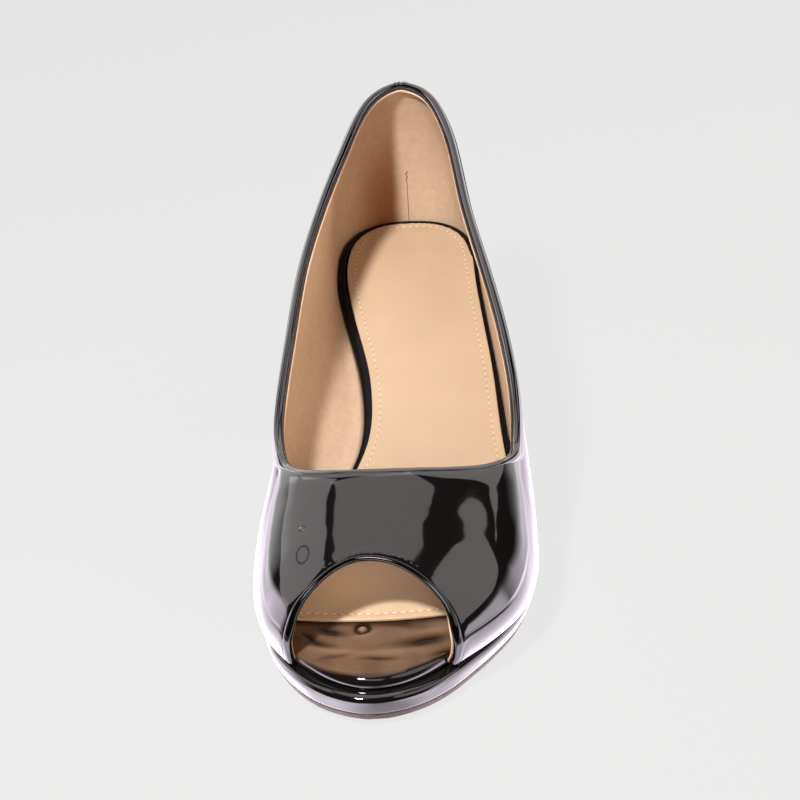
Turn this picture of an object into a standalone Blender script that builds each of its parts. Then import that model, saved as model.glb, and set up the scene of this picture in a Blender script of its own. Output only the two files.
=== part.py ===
"""A left peep-toe wedge pump: outsole, wedge, insole, sock and a hollow upper, all from one last.

Plan sizes are in millimetres: y runs back from the tip of the insole, x runs from the inner side of
the foot (negative) to the outer side, and heights run up from the floor.
"""
import math

import bmesh
import bpy
from mathutils import Vector

MM = 0.001
GAP = 0.3

# Driving sizes of the sole
FOREFOOT_BED = 8.1
HEEL_RISE = 43.3
RISE_START = 68.7
RISE_END = 228.7
TOE_SPRING = 1.8
SPRING_LENGTH = 46.0
OUTSOLE_THICKNESS = 2.2
OUTSOLE_INSET = 0.5
INSOLE_THICKNESS = 3.5
INSOLE_EDGE_ROUND = 1.4
LIP_ROUND = 3.3
LIP_LENGTH = 14.0
SOCK_THICKNESS = 1.3
SOCK_MARGIN = 3.0
SOCK_FRONT = 28.0
SOCK_FRONT_BOW = 0.0035
SOCK_BOW_FADE = 22.0
PLATFORM_EDGE_ROUND = 2.2

# Driving sizes of the upper
WALL = 1.8
WALL_CURVE = 2.2
CORNER_Y = 76.0
THROAT_Y = 61.0
THROAT_Z = 46.8
THROAT_FALL = 0.67
CORNER_TURN = 5
PEEP_TOP_Y = 30.2
PEEP_FOOT_INNER = 14.5
PEEP_FOOT_OUTER = 11.5
PEEP_ROUND = 1.6
BELLY_SHARE = 0.25
CORNER_SHARE = 0.53

# Finish
BLACK_PATENT = (0.012, 0.011, 0.012)
PATENT_GLOSS = 0.08
OUTSOLE_BROWN = (0.045, 0.03, 0.026)
SOCK_TAN = (0.68, 0.45, 0.27)

# Mesh density
LONG_STEPS = 44
FAN_STEPS = 9
WALL_ROWS = 9
CROWN_ROWS = 8
VAMP_ROWS = 14
WEDGE_ROWS = 3
SOCK_COLUMNS = 8
EDGE_TURNS = (30, 60, 90)

INNER, OUTER = -1, 1

# The last in cross sections, one row for each, from toe to heel axis
LAST_COLUMNS = ("y", "feather_in", "feather_out", "belly_in", "belly_out",
                "belly_up_in", "belly_up_out", "crown_x", "crown_up", "fullness")
LAST = (
    (0, -10.2, -10.2, -10.2, -10.2, 6.0, 6.0, -13.0, 12.0, 1.9),
    (2, -18.9, -1.0, -19.0, -0.6, 6.0, 6.0, -13.0, 13.5, 1.9),
    (5, -24.4, 4.7, -24.8, 5.8, 6.0, 6.0, -13.0, 15.2, 1.9),
    (10, -30.6, 11.2, -31.2, 13.2, 6.5, 6.5, -13.0, 17.6, 1.9),
    (16, -36.0, 17.2, -37.2, 20.4, 7.0, 7.0, -13.0, 20.4, 1.9),
    (24, -40.8, 24.5, -43.0, 28.8, 7.5, 7.5, -12.5, 24.0, 1.9),
    (34, -43.6, 31.6, -46.4, 35.6, 8.0, 8.0, -11.0, 28.0, 2.0),
    (46, -44.6, 36.4, -47.6, 39.0, 9.0, 8.5, -8.5, 32.6, 2.15),
    (58, -43.4, 38.4, -47.4, 39.8, 10.5, 9.0, -5.5, 37.4, 2.35),
    (70, -39.6, 39.0, -45.8, 39.8, 12.5, 10.0, -3.5, 42.0, 2.6),
    (84, -32.0, 38.4, -43.7, 39.4, 17.0, 11.0, -2.0, 46.5, 2.8),
    (100, -24.0, 37.0, -41.8, 37.9, 23.0, 12.5, -1.0, 51.0, 2.8),
    (120, -18.0, 34.6, -39.4, 35.3, 28.0, 14.0, 0.0, 55.0, 2.8),
    (145, -19.2, 32.3, -35.8, 32.2, 27.0, 15.0, 0.0, 58.0, 2.8),
    (170, -25.2, 29.2, -31.8, 28.5, 22.0, 17.5, 0.0, 62.0, 2.8),
    (195, -29.0, 26.9, -29.6, 25.6, 18.0, 20.0, 0.0, 66.0, 2.8),
)

# The collar's edge from behind the throat corner to the back of the heel
RIM_COLUMNS = ("y", "rim_in", "rim_out", "rim_up")
RIM = (
    (88, -41.8, 35.2, 35.8),
    (100, -41.0, 35.0, 40.6),
    (120, -38.4, 32.0, 46.0),
    (145, -35.4, 26.8, 48.6),
    (170, -29.6, 22.0, 50.0),
    (195, -21.2, 18.0, 54.2),
    (207, -16.6, 14.6, 58.0),
    (216, -11.4, 9.8, 61.8),
    (222, -1.0, -1.0, 64.6),
)

# The round of the heel behind its axis: how far back each line lies, and how full its plan curve is
HEEL = {"feather": (34.3, 2.3), "belly": (36.8, 2.3)}
HEEL_AXIS_Y = 195.0
HEEL_BELLY_UP = 22.0

# How far the wedge stands out beyond the feather line, at its top edge and at its foot
SKIRT_COLUMNS = ("y", "top", "foot_in", "foot_out")
SKIRT = (
    (0, 4.3, 4.3, 4.3),
    (5, 4.1, 4.1, 4.1),
    (10, 3.6, 3.4, 3.6),
    (18, 2.9, 2.3, 2.6),
    (30, 2.5, 1.4, 1.5),
    (50, 2.4, 1.2, 1.2),
    (80, 2.4, 2.4, 1.4),
    (120, 2.4, 5.5, 2.0),
    (160, 2.4, 3.0, 1.8),
    (195, 2.4, 0.4, 0.4),
    (229, 2.4, -1.6, -1.6),
)


def hermite(rows, columns, name, at, warp=lambda v: v, flat_end=False):
    """One column of a table, read at a place along its first column by a smooth cubic."""
    k = columns.index(name)
    s = [warp(row[0]) for row in rows]
    v = [row[k] for row in rows]
    place = min(max(warp(at), s[0]), s[-1])
    i = 0
    while i < len(s) - 2 and place > s[i + 1]:
        i += 1

    def slope(j):
        if j == len(s) - 1 and flat_end:
            return 0.0
        low, high = max(j - 1, 0), min(j + 1, len(s) - 1)
        return (v[high] - v[low]) / (s[high] - s[low])

    step = s[i + 1] - s[i]
    t = (place - s[i]) / step
    return ((2 * t**3 - 3 * t**2 + 1) * v[i] + (t**3 - 2 * t**2 + t) * step * slope(i)
            + (3 * t**2 - 2 * t**3) * v[i + 1] + (t**3 - t**2) * step * slope(i + 1))


def last(name, y):
    """A size of the last at y. The table is read along the root of y, so that the toe comes out round."""
    return hermite(LAST, LAST_COLUMNS, name, y, math.sqrt, flat_end=True)


def skirt(name, y):
    return hermite(SKIRT, SKIRT_COLUMNS, name, y)


def sided(name, side):
    return name + ("_in" if side == INNER else "_out")


def smooth(t):
    t = min(max(t, 0.0), 1.0)
    return t * t * (3 - 2 * t)


def spring(y):
    """How far the sole lifts off the floor towards the toe."""
    return TOE_SPRING * max(0.0, 1 - y / SPRING_LENGTH) ** 2


def bed(y):
    """Height of the wedge's upper face, on which the insole and the upper sit."""
    return FOREFOOT_BED + spring(y) + HEEL_RISE * smooth((y - RISE_START) / (RISE_END - RISE_START))


# A station is a place along one side of the foot: (side, y, turn). Turn is 0 along the foot and
# runs to a quarter turn round the heel, where y stays at the heel axis.
def stations(side, start=0.0):
    first = math.sqrt(start)
    last_root = math.sqrt(HEEL_AXIS_Y)
    steps = round(LONG_STEPS * (last_root - first) / last_root)
    along = [(side, (first + (last_root - first) * i / steps) ** 2, 0.0) for i in range(steps + 1)]
    round_heel = [(side, HEEL_AXIS_Y, math.pi / 2 * i / FAN_STEPS) for i in range(1, FAN_STEPS + 1)]
    return along + round_heel


def heel_round(inner, outer, side, turn, line):
    """A point on the round of the heel, for a line that is inner and outer wide at the heel axis."""
    back, full = HEEL[line]
    middle, half = (inner + outer) / 2, (outer - inner) / 2
    across = max(math.cos(turn), 0.0) ** (2 / full)
    behind = math.sin(turn) ** (2 / full)
    return Vector((middle + side * half * across, HEEL_AXIS_Y + back * behind))


def plan(station, line):
    """Plan point of the feather or belly line at a station."""
    side, y, turn = station
    if turn:
        return heel_round(last(line + "_in", y), last(line + "_out", y), side, turn, line)
    return Vector((last(sided(line, side), y), y))


def feather_ring():
    """The feather line as a closed loop of stations: toe, inner side, heel, outer side."""
    return stations(INNER) + stations(OUTER)[-2:0:-1]


def offset_ring(ring, distance):
    """The feather line's plan points moved out square to the line, by a distance read at each station."""
    points = [plan(s, "feather") for s in ring]
    moved = []
    for i, s in enumerate(ring):
        along = points[(i + 1) % len(ring)] - points[i - 1]
        out = Vector((-along.y, along.x)).normalized()
        moved.append(points[i] + out * distance(s))
    return moved


def mesh_object(name, bm, material, collection, parent):
    bmesh.ops.recalc_face_normals(bm, faces=bm.faces)
    mesh = bpy.data.meshes.new(name)
    bm.to_mesh(mesh)
    bm.free()
    mesh.transform(((MM, 0, 0, 0), (0, MM, 0, 0), (0, 0, MM, 0), (0, 0, 0, 1)))
    mesh.shade_smooth()
    mesh.set_sharp_from_angle(angle=math.radians(50))
    mesh.materials.append(material)
    made = bpy.data.objects.new(name, mesh)
    made.parent = parent
    collection.objects.link(made)
    return made


def bridge(bm, low, high, closed=True):
    """A strip of quads between two rows of vertices."""
    count = len(low)
    for i in range(count if closed else count - 1):
        j = (i + 1) % count
        bm.faces.new((low[i], low[j], high[j], high[i]))


def ladder(bm, ring):
    """Closes a ring of stations with rungs from its inner side to its outer side."""
    half = len(ring) // 2
    left, right = ring[:half + 1], [ring[0]] + ring[:half - 1:-1]
    for i in range(half):
        corners = [left[i], left[i + 1], right[i + 1], right[i]]
        bm.faces.new(list(dict.fromkeys(corners)))


def stacked_solid(name, rings, material, collection, parent):
    """A closed solid from rings of points, bottom to top, each with the same stations."""
    bm = bmesh.new()
    rows = [[bm.verts.new(p) for p in ring] for ring in rings]
    for low, high in zip(rows, rows[1:]):
        bridge(bm, low, high)
    ladder(bm, rows[0])
    ladder(bm, rows[-1])
    return mesh_object(name, bm, material, collection, parent)


def ring_at(ring, distance, height):
    """A ring of points: plan offset and height are each read at the station."""
    moved = offset_ring(ring, distance)
    return [(p.x, p.y, height(p.y)) for p in moved]


def skirt_at(name):
    """Stand-out of the wedge at a station. Round the heel the table runs on to the back."""
    def read(station):
        side, y, turn = station
        column = name if name == "top" else sided(name, side)
        return skirt(column, y + HEEL["feather"][0] * math.sin(turn))
    return read


def outsole_top(y):
    return spring(y) + OUTSOLE_THICKNESS


def wedge_foot(y):
    return outsole_top(y) + GAP


def make_outsole(material, collection, parent):
    """Thin sole with its edge set back a little from the wedge."""
    ring = feather_ring()
    foot = skirt_at("foot")
    tread = ring_at(ring, lambda s: foot(s) - OUTSOLE_INSET, spring)
    top = ring_at(ring, lambda s: foot(s) - OUTSOLE_INSET, outsole_top)
    return stacked_solid("outsole", [tread, top], material, collection, parent)


def make_wedge(material, collection, parent):
    """Platform and heel in one block, with a rounded upper edge."""
    ring = feather_ring()
    foot, top = skirt_at("foot"), skirt_at("top")

    def side_ring(share):
        return ring_at(ring, lambda s: foot(s) + (top(s) - foot(s)) * share,
                       lambda y: wedge_foot(y) + (bed(y) - PLATFORM_EDGE_ROUND - wedge_foot(y)) * share)

    def edge_ring(turn):
        inset = PLATFORM_EDGE_ROUND * (1 - math.cos(math.radians(turn)))
        drop = PLATFORM_EDGE_ROUND * (1 - math.sin(math.radians(turn)))
        return ring_at(ring, lambda s: top(s) - inset, lambda y: bed(y) - drop)

    rings = [side_ring(i / WEDGE_ROWS) for i in range(WEDGE_ROWS + 1)] + [edge_ring(t) for t in EDGE_TURNS]
    return stacked_solid("wedge", rings, material, collection, parent)


def insole_top(y):
    return bed(y) + GAP + INSOLE_THICKNESS


def make_insole(material, collection, parent):
    """Wrapped board inside the upper. Its front edge, in the peep toe, is a full roll."""
    def edge_round(station):
        lip = 1 - smooth(station[1] / LIP_LENGTH)
        return INSOLE_EDGE_ROUND + (LIP_ROUND - INSOLE_EDGE_ROUND) * lip

    ring = feather_ring()
    board = [ring_at(ring, lambda s: -GAP, lambda y: bed(y) + GAP)]
    for turn in (0, *EDGE_TURNS):
        across, up = 1 - math.cos(math.radians(turn)), 1 - math.sin(math.radians(turn))
        moved = offset_ring(ring, lambda s: -GAP - edge_round(s) * across)
        board.append([(p.x, p.y, insole_top(p.y) - edge_round(s) * up) for p, s in zip(moved, ring)])
    return stacked_solid("insole", board, material, collection, parent)


def sock_rows():
    """Plan points of the sock, row by row from its bowed front edge to the heel."""
    ring = feather_ring()
    margin = offset_ring(ring, lambda s: -SOCK_MARGIN)
    half = len(ring) // 2
    inner, outer = margin[:half + 1], [margin[0]] + margin[:half - 1:-1]
    middle = last("crown_x", SOCK_FRONT)

    def on_side(points, y):
        i = next(k for k in range(1, len(points)) if points[k].y >= y)
        low, high = points[i - 1], points[i]
        return low.lerp(high, (y - low.y) / (high.y - low.y)).x

    def along_foot(y, share):
        x = on_side(inner, y) + (on_side(outer, y) - on_side(inner, y)) * share
        fade = max(0.0, 1 - (y - SOCK_FRONT) / SOCK_BOW_FADE) ** 2
        bowed = y + SOCK_FRONT_BOW * (x - middle) ** 2 * fade
        left, right = on_side(inner, bowed), on_side(outer, bowed)
        return Vector((left + (right - left) * share, bowed))

    shares = [k / SOCK_COLUMNS for k in range(SOCK_COLUMNS + 1)]
    straight = [SOCK_FRONT] + [s[1] for s in ring[:half] if SOCK_FRONT + 1 < s[1] and not s[2]]
    heel = [(a, b) for a, b, s in zip(inner, outer, ring) if s[2]][:-1]
    return ([[along_foot(y, share) for share in shares] for y in straight]
            + [[a.lerp(b, share) for share in shares] for a, b in heel])


def make_sock(material, collection, parent):
    """Padded sheet on the insole, cut off behind the toe along a shallow bow."""
    bm = bmesh.new()
    borders = []
    for rise in (GAP, GAP + SOCK_THICKNESS):
        grid = [[bm.verts.new((p.x, p.y, insole_top(p.y) + rise)) for p in row] for row in sock_rows()]
        for low, high in zip(grid, grid[1:]):
            bridge(bm, low, high, closed=False)
        outer_edge = [row[-1] for row in grid]
        inner_edge = [row[0] for row in grid[-2:0:-1]]
        borders.append(grid[0][:-1] + outer_edge + grid[-1][-2::-1] + inner_edge)
    bridge(bm, *borders)
    return mesh_object("sock", bm, material, collection, parent)


def belly_up(station):
    side, y, turn = station
    at_axis = last(sided("belly_up", side), y)
    return at_axis + (HEEL_BELLY_UP - at_axis) * math.sin(turn) ** 2


def section_point(side, y, share):
    """A point on the last's arch over the foot: share 0 is the feather, 1 is the crown."""
    feather, belly = last(sided("feather", side), y), last(sided("belly", side), y)
    low, crown_up, crown_x = last(sided("belly_up", side), y), last("crown_up", y), last("crown_x", y)
    if share < BELLY_SHARE:
        up = low * share / BELLY_SHARE
        x = belly + (feather - belly) * (1 - up / low) ** WALL_CURVE
    else:
        power = 2 / last("fullness", y)
        turn = (share - BELLY_SHARE) / (1 - BELLY_SHARE) * math.pi / 2
        x = crown_x + (belly - crown_x) * max(math.cos(turn), 0.0) ** power
        up = low + (crown_up - low) * math.sin(turn) ** power
    return Vector((x, y, bed(y) + GAP + up))


def corner(side):
    """The throat corner: where the collar's edge turns across the vamp."""
    return section_point(side, CORNER_Y, CORNER_SHARE)


def rim(station):
    """Plan point and height above the bed of the collar's edge at a station. The table is read along the
    root of the distance from its back, so that the collar comes out round there."""
    side, y, turn = station
    c = corner(side)
    rows = [(CORNER_Y, c.x, c.x, c.z - bed(CORNER_Y) - GAP)] + list(RIM)
    back = RIM[-1][0]
    along = y + (back - HEEL_AXIS_Y) * math.sin(turn)

    def read(name):
        return hermite(rows, RIM_COLUMNS, name, along, lambda v: -math.sqrt(max(back - v, 0.0)))

    return Vector((read(sided("rim", side)), along)), read("rim_up")


def wall_point(station, share):
    """A point on the quarter's wall: share 0 is the feather, 1 is the collar's edge."""
    feather, belly = plan(station, "feather"), plan(station, "belly")
    edge, edge_up = rim(station)
    low = belly_up(station)
    up = edge_up * share
    if up < low:
        p = belly.lerp(feather, (1 - up / low) ** WALL_CURVE)
    else:
        p = belly.lerp(edge, ((up - low) / (edge_up - low)) ** WALL_CURVE)
    return Vector((p.x, p.y, bed(p.y) + GAP + up))


def column_shares():
    """Shares of the vamp section for each column: up the side to the corner, then over the crown."""
    side = [CORNER_SHARE * j / WALL_ROWS for j in range(WALL_ROWS + 1)]
    over = [CORNER_SHARE + (1 - CORNER_SHARE) * j / CROWN_ROWS for j in range(1, CROWN_ROWS + 1)]
    return side + over


def peep_y(side, share):
    """Where the peep toe's edge crosses a column."""
    foot = PEEP_FOOT_INNER if side == INNER else PEEP_FOOT_OUTER
    return foot + (PEEP_TOP_Y - foot) * math.sin(share**PEEP_ROUND * math.pi / 2) ** 2


def throat_cut(side, share):
    """Where a column meets the throat's flat cut, which falls towards the heel."""
    low, high = THROAT_Y - 10, CORNER_Y + 20
    for _ in range(40):
        y = (low + high) / 2
        if section_point(side, y, share).z < THROAT_Z - THROAT_FALL * (y - THROAT_Y):
            low = y
        else:
            high = y
    return low


def throat_y(side, share):
    """Where the throat's edge crosses a column. The cut turns up into the collar at the corner."""
    if share <= CORNER_SHARE:
        return CORNER_Y
    over = (share - CORNER_SHARE) / (1 - CORNER_SHARE)
    turn_up = CORNER_Y - throat_cut(side, CORNER_SHARE)
    return throat_cut(side, share) + turn_up * (1 - over) ** CORNER_TURN


def vamp_grid():
    """Rows of points from the peep toe's edge back to the throat, inner feather to outer feather."""
    shares = column_shares()
    sides = [(INNER, s) for s in shares] + [(OUTER, s) for s in shares[-2::-1]]
    return [[section_point(side, peep_y(side, s) + (throat_y(side, s) - peep_y(side, s)) * i / VAMP_ROWS, s)
             for side, s in sides] for i in range(VAMP_ROWS + 1)]


def quarter_grid():
    """Rows of points from the inner throat corner round the heel to the outer one, feather to collar."""
    shares = column_shares()[:WALL_ROWS + 1]
    up = [section_point(INNER, CORNER_Y, s).z - bed(CORNER_Y) - GAP for s in shares]
    inner, outer = stations(INNER, CORNER_Y), stations(OUTER, CORNER_Y)
    path = inner + outer[-2::-1]
    return [[wall_point(s, h / up[-1]) for h in up] for s in path]


def make_upper(material, collection, parent):
    """Vamp and quarters as one hollow wall, open at the collar, at the peep toe and underneath."""
    bm = bmesh.new()
    vamp = [[bm.verts.new(p) for p in row] for row in vamp_grid()]
    quarter = [[bm.verts.new(p) for p in row] for row in quarter_grid()]
    quarter[0] = vamp[-1][:WALL_ROWS + 1]
    quarter[-1] = vamp[-1][:-WALL_ROWS - 2:-1]
    for low, high in zip(vamp, vamp[1:]):
        bridge(bm, low, high, closed=False)
    for low, high in zip(quarter, quarter[1:]):
        bridge(bm, low, high, closed=False)
    bmesh.ops.delete(bm, geom=[v for v in bm.verts if not v.link_faces], context="VERTS")
    thicken(bm)
    return mesh_object("upper", bm, material, collection, parent)


def thicken(bm):
    """Gives the last's skin its wall, outwards, with the lower rim kept level on the bed."""
    bmesh.ops.recalc_face_normals(bm, faces=bm.faces)
    bm.normal_update()
    skin = list(bm.verts)
    heel = max(skin, key=lambda v: v.co.y)
    sign = 1 if heel.normal.y > 0 else -1
    outer = {}
    for v in skin:
        out = v.normal * sign
        moved = v.co + out * WALL
        on_bed = math.isclose(v.co.z, bed(v.co.y) + GAP, abs_tol=1e-4)
        if on_bed:
            moved = v.co + Vector((out.x, out.y, 0)).normalized() * WALL
            moved.z = bed(moved.y) + GAP
        moved.z = max(moved.z, bed(moved.y) + GAP)
        outer[v] = bm.verts.new(moved)
    for face in list(bm.faces):
        bm.faces.new([outer[v] for v in reversed(face.verts)])
    for edge in [e for e in bm.edges if e.is_boundary and e.verts[0] in outer]:
        a, b = edge.verts
        bm.faces.new((a, b, outer[b], outer[a]))


def principled(name, colour, roughness):
    material = bpy.data.materials.new(name)
    material.use_nodes = True
    shader = material.node_tree.nodes["Principled BSDF"]
    shader.inputs["Base Color"].default_value = (*colour, 1.0)
    shader.inputs["Roughness"].default_value = roughness
    shader.inputs["Metallic"].default_value = 0.0
    return material


def centre_on_floor(root, pieces):
    """Moves the empty so that the shoe's box stands centred on the origin."""
    bpy.context.view_layer.update()
    corners = [p.matrix_world @ Vector(c) for p in pieces for c in p.bound_box]
    low = [min(c[k] for c in corners) for k in range(3)]
    high = [max(c[k] for c in corners) for k in range(3)]
    root.location = (-(low[0] + high[0]) / 2, -(low[1] + high[1]) / 2, -low[2])


def main():
    for old in list(bpy.data.objects):
        bpy.data.objects.remove(old, do_unlink=True)
    shoe = bpy.data.collections.new("wedge_shoe")
    bpy.context.scene.collection.children.link(shoe)
    root = bpy.data.objects.new("shoe_root", None)
    shoe.objects.link(root)
    pieces = [
        make_outsole(principled("outsole_rubber", OUTSOLE_BROWN, 0.6), shoe, root),
        make_wedge(principled("wedge_patent", BLACK_PATENT, PATENT_GLOSS), shoe, root),
        make_insole(principled("insole_patent", BLACK_PATENT, PATENT_GLOSS), shoe, root),
        make_sock(principled("sock_leather", SOCK_TAN, 0.55), shoe, root),
        make_upper(principled("upper_patent", BLACK_PATENT, PATENT_GLOSS), shoe, root),
    ]
    centre_on_floor(root, pieces)


main()
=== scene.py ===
import math

import bmesh
import bpy
from mathutils import Matrix, Vector, noise
from mathutils.bvhtree import BVHTree
from mathutils.kdtree import KDTree


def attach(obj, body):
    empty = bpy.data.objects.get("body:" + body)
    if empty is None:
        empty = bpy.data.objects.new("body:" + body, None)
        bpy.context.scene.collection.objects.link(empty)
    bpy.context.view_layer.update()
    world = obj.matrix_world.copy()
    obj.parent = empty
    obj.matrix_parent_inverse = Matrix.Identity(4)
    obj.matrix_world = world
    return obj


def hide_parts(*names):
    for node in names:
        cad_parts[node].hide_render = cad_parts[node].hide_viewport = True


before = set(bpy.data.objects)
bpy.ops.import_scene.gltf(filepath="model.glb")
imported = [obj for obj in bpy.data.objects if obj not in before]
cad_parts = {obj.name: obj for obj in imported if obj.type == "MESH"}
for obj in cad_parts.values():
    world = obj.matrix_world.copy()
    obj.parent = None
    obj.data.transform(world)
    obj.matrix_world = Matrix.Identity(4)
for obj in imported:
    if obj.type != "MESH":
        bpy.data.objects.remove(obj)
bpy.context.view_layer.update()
mm = 0.001
scene = bpy.context.scene
print("frame loaded, nodes:", sorted(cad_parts))


# small helpers for working on one piece at a time

def activate(piece):
    bpy.ops.object.select_all(action="DESELECT")
    piece.select_set(True)
    bpy.context.view_layer.objects.active = piece


def editing(piece, selectBy="FACE"):
    activate(piece)
    bpy.ops.object.mode_set(mode="EDIT")
    bpy.ops.mesh.select_mode(type=selectBy)


def doneEditing():
    bpy.ops.mesh.select_all(action="DESELECT")
    bpy.ops.object.mode_set(mode="OBJECT")


def onAll(piece, step, **settings):
    # one step in edit mode on every face
    editing(piece)
    bpy.ops.mesh.select_all(action="SELECT")
    step(**settings)
    doneEditing()


def applied(piece, kind, **settings):
    activate(piece)
    modifier = piece.modifiers.new(kind.title(), kind)
    for key, value in settings.items():
        setattr(modifier, key, value)
    bpy.ops.object.modifier_apply(modifier=modifier.name)


def subdivided(piece, levels):
    applied(piece, "SUBSURF", levels=levels, render_levels=levels)


def copyOfNode(nodeName, pieceName):
    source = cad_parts[nodeName]
    piece = source.copy()
    piece.data = source.data.copy()
    piece.name = piece.data.name = pieceName
    piece.parent = None
    piece.hide_render = piece.hide_viewport = False
    for key in list(piece.keys()):
        del piece[key]
    piece.data.materials.clear()
    scene.collection.objects.link(piece)
    onAll(piece, bpy.ops.mesh.remove_doubles, threshold=0.01 * mm)   # a node is loose triangles
    return piece


def toQuads(piece):
    onAll(piece, bpy.ops.mesh.tris_convert_to_quads, face_threshold=math.radians(60), shape_threshold=math.pi,
          topology_influence=2.0)


def keepWall(piece, seed, sharpness=20):
    # keeps the smooth run of faces that holds the seed face
    for face in piece.data.polygons:
        face.select = face.index == seed
    editing(piece)
    bpy.ops.mesh.faces_select_linked_flat(sharpness=math.radians(sharpness))
    bpy.ops.mesh.select_all(action="INVERT")
    bpy.ops.mesh.delete(type="FACE")
    doneEditing()


def bevelSharp(piece, width, segments=2, sharpness=40):
    editing(piece, "EDGE")
    bpy.ops.mesh.select_all(action="DESELECT")
    bpy.ops.mesh.edges_select_sharp(sharpness=math.radians(sharpness))
    bpy.ops.mesh.bevel(offset=width, segments=segments, profile=0.5, affect="EDGES")
    doneEditing()


def smoothStep(low, high, value):
    t = min(max((value - low) / (high - low), 0.0), 1.0)
    return t * t * (3 - 2 * t)


def bell(distance, width):
    return math.exp(-(distance / width) ** 2)


def blended(first, second, share):
    # the section between two sections, point by point
    return [(a[0] + (b[0] - a[0]) * share, a[1] + (b[1] - a[1]) * share) for a, b in zip(first, second)]


def lifted(piece, moveAt):
    # moves each point by the vector that is given for its place and normal
    moves = [moveAt(vert.co, vert.normal) for vert in piece.data.vertices]
    for vert, move in zip(piece.data.vertices, moves):
        vert.co += move
    piece.data.update()


def finishPiece(piece, material, slot, *nodes):
    activate(piece)
    bpy.ops.object.shade_smooth()
    piece.data.materials.clear()
    piece.data.materials.append(material)
    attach(piece, "root")
    if nodes:
        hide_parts(*nodes)
    print("piece", piece.name, "faces", len(piece.data.polygons))
    return piece


# a path is a list of frames along an edge: place, out of the surface, along the edge, beyond the edge

def edgePaths(piece):
    shape = bmesh.new()
    shape.from_mesh(piece.data)
    shape.normal_update()
    shape.edges.index_update()
    rims = [e for e in shape.edges if e.is_boundary]
    left = {e.index for e in rims}
    paths = []
    for first in rims:
        if first.index not in left:
            continue
        left.discard(first.index)
        chain = [first.verts[0], first.verts[1]]
        while chain[-1] is not chain[0]:
            step = next(e for e in chain[-1].link_edges if e.index in left)
            left.discard(step.index)
            chain.append(step.other_vert(chain[-1]))
        paths.append(edgeFrames(chain[:-1]))
    shape.free()
    return paths


def edgeFrames(chain):
    frames = []
    for i, vert in enumerate(chain):
        along = (chain[(i + 1) % len(chain)].co - chain[i - 1].co).normalized()
        inward = [e.other_vert(vert).co for e in vert.link_edges if not e.is_boundary]
        middle = sum(inward, Vector()) / len(inward) if inward else vert.co - along.cross(vert.normal)
        frames.append(squareFrame(vert.co.copy(), vert.normal, along, vert.co - middle))
    return frames


def squareFrame(place, out, along, beyond):
    out = (out - along * out.dot(along)).normalized()
    beyond = (beyond - along * beyond.dot(along))
    beyond = (beyond - out * beyond.dot(out)).normalized()
    return (place, out, along, beyond)


def framesAlong(points, beyond):
    # frames for a run of points, each with its direction out of the surface
    last = len(points) - 1
    return [squareFrame(place, out, (points[min(i + 1, last)][0] - points[max(i - 1, 0)][0]).normalized(), beyond)
            for i, (place, out) in enumerate(points)]


def nearTree(path):
    tree = KDTree(len(path))
    for i, mark in enumerate(path):
        tree.insert(mark[0], i)
    tree.balance()
    return tree


def evenFrames(frames, closed, rounds=3):
    # calms the frames along a path, so that a swept section runs without kinks
    count = len(frames)
    for _ in range(rounds):
        calm = []
        for i, (place, out, along, beyond) in enumerate(frames):
            before = frames[i - 1] if closed or i else frames[0]
            after = frames[(i + 1) % count] if closed or i < count - 1 else frames[-1]
            calm.append(squareFrame(place * 0.5 + (before[0] + after[0]) * 0.25, out + (before[1] + after[1]) * 0.5,
                                    (after[0] - before[0]).normalized(), beyond + (before[3] + after[3]) * 0.5))
        if not closed:
            calm[0], calm[-1] = frames[0], frames[-1]
        frames = calm
    return frames


def walk(frames, pitch, closed, start=0.0):
    # frames at an even pitch along a path
    ring = frames + frames[:1] if closed else frames
    marks, travelled, due = [], 0.0, start
    for a, b in zip(ring, ring[1:]):
        length = (b[0] - a[0]).length
        while due <= travelled + length and length > 0:
            t = (due - travelled) / length
            marks.append(squareFrame(a[0].lerp(b[0], t), a[1].lerp(b[1], t),
                                     (b[0] - a[0]).normalized(), a[3].lerp(b[3], t)))
            due += pitch
        travelled += length
    return marks


def sweep(name, frames, section, closed):
    # a closed band: section(i) gives points (out, beyond) in mm for frame i
    rows = []
    for i, (place, out, along, beyond) in enumerate(frames):
        rows.append([place + (out * a + beyond * b) * mm for a, b in section(i)])
    count, size = len(rows), len(rows[0])
    faces = []
    for i in range(count if closed else count - 1):
        j = (i + 1) % count
        for k in range(size):
            n = (k + 1) % size
            faces.append((i * size + k, i * size + n, j * size + n, j * size + k))
    if not closed:
        faces += [tuple(range(size - 1, -1, -1)), tuple(range((count - 1) * size, count * size))]
    mesh = bpy.data.meshes.new(name)
    mesh.from_pydata([p for row in rows for p in row], [], faces)
    piece = bpy.data.objects.new(name, mesh)
    scene.collection.objects.link(piece)
    onAll(piece, bpy.ops.mesh.normals_make_consistent, inside=False)
    return piece


def surfaceOf(piece):
    return BVHTree.FromObject(piece, bpy.context.evaluated_depsgraph_get())


def band(name, frames, section, closed, material):
    # a swept band on the upper, smoothed once
    piece = sweep(name, frames, section, closed)
    subdivided(piece, 1)
    return finishPiece(piece, material, "upper")


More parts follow.
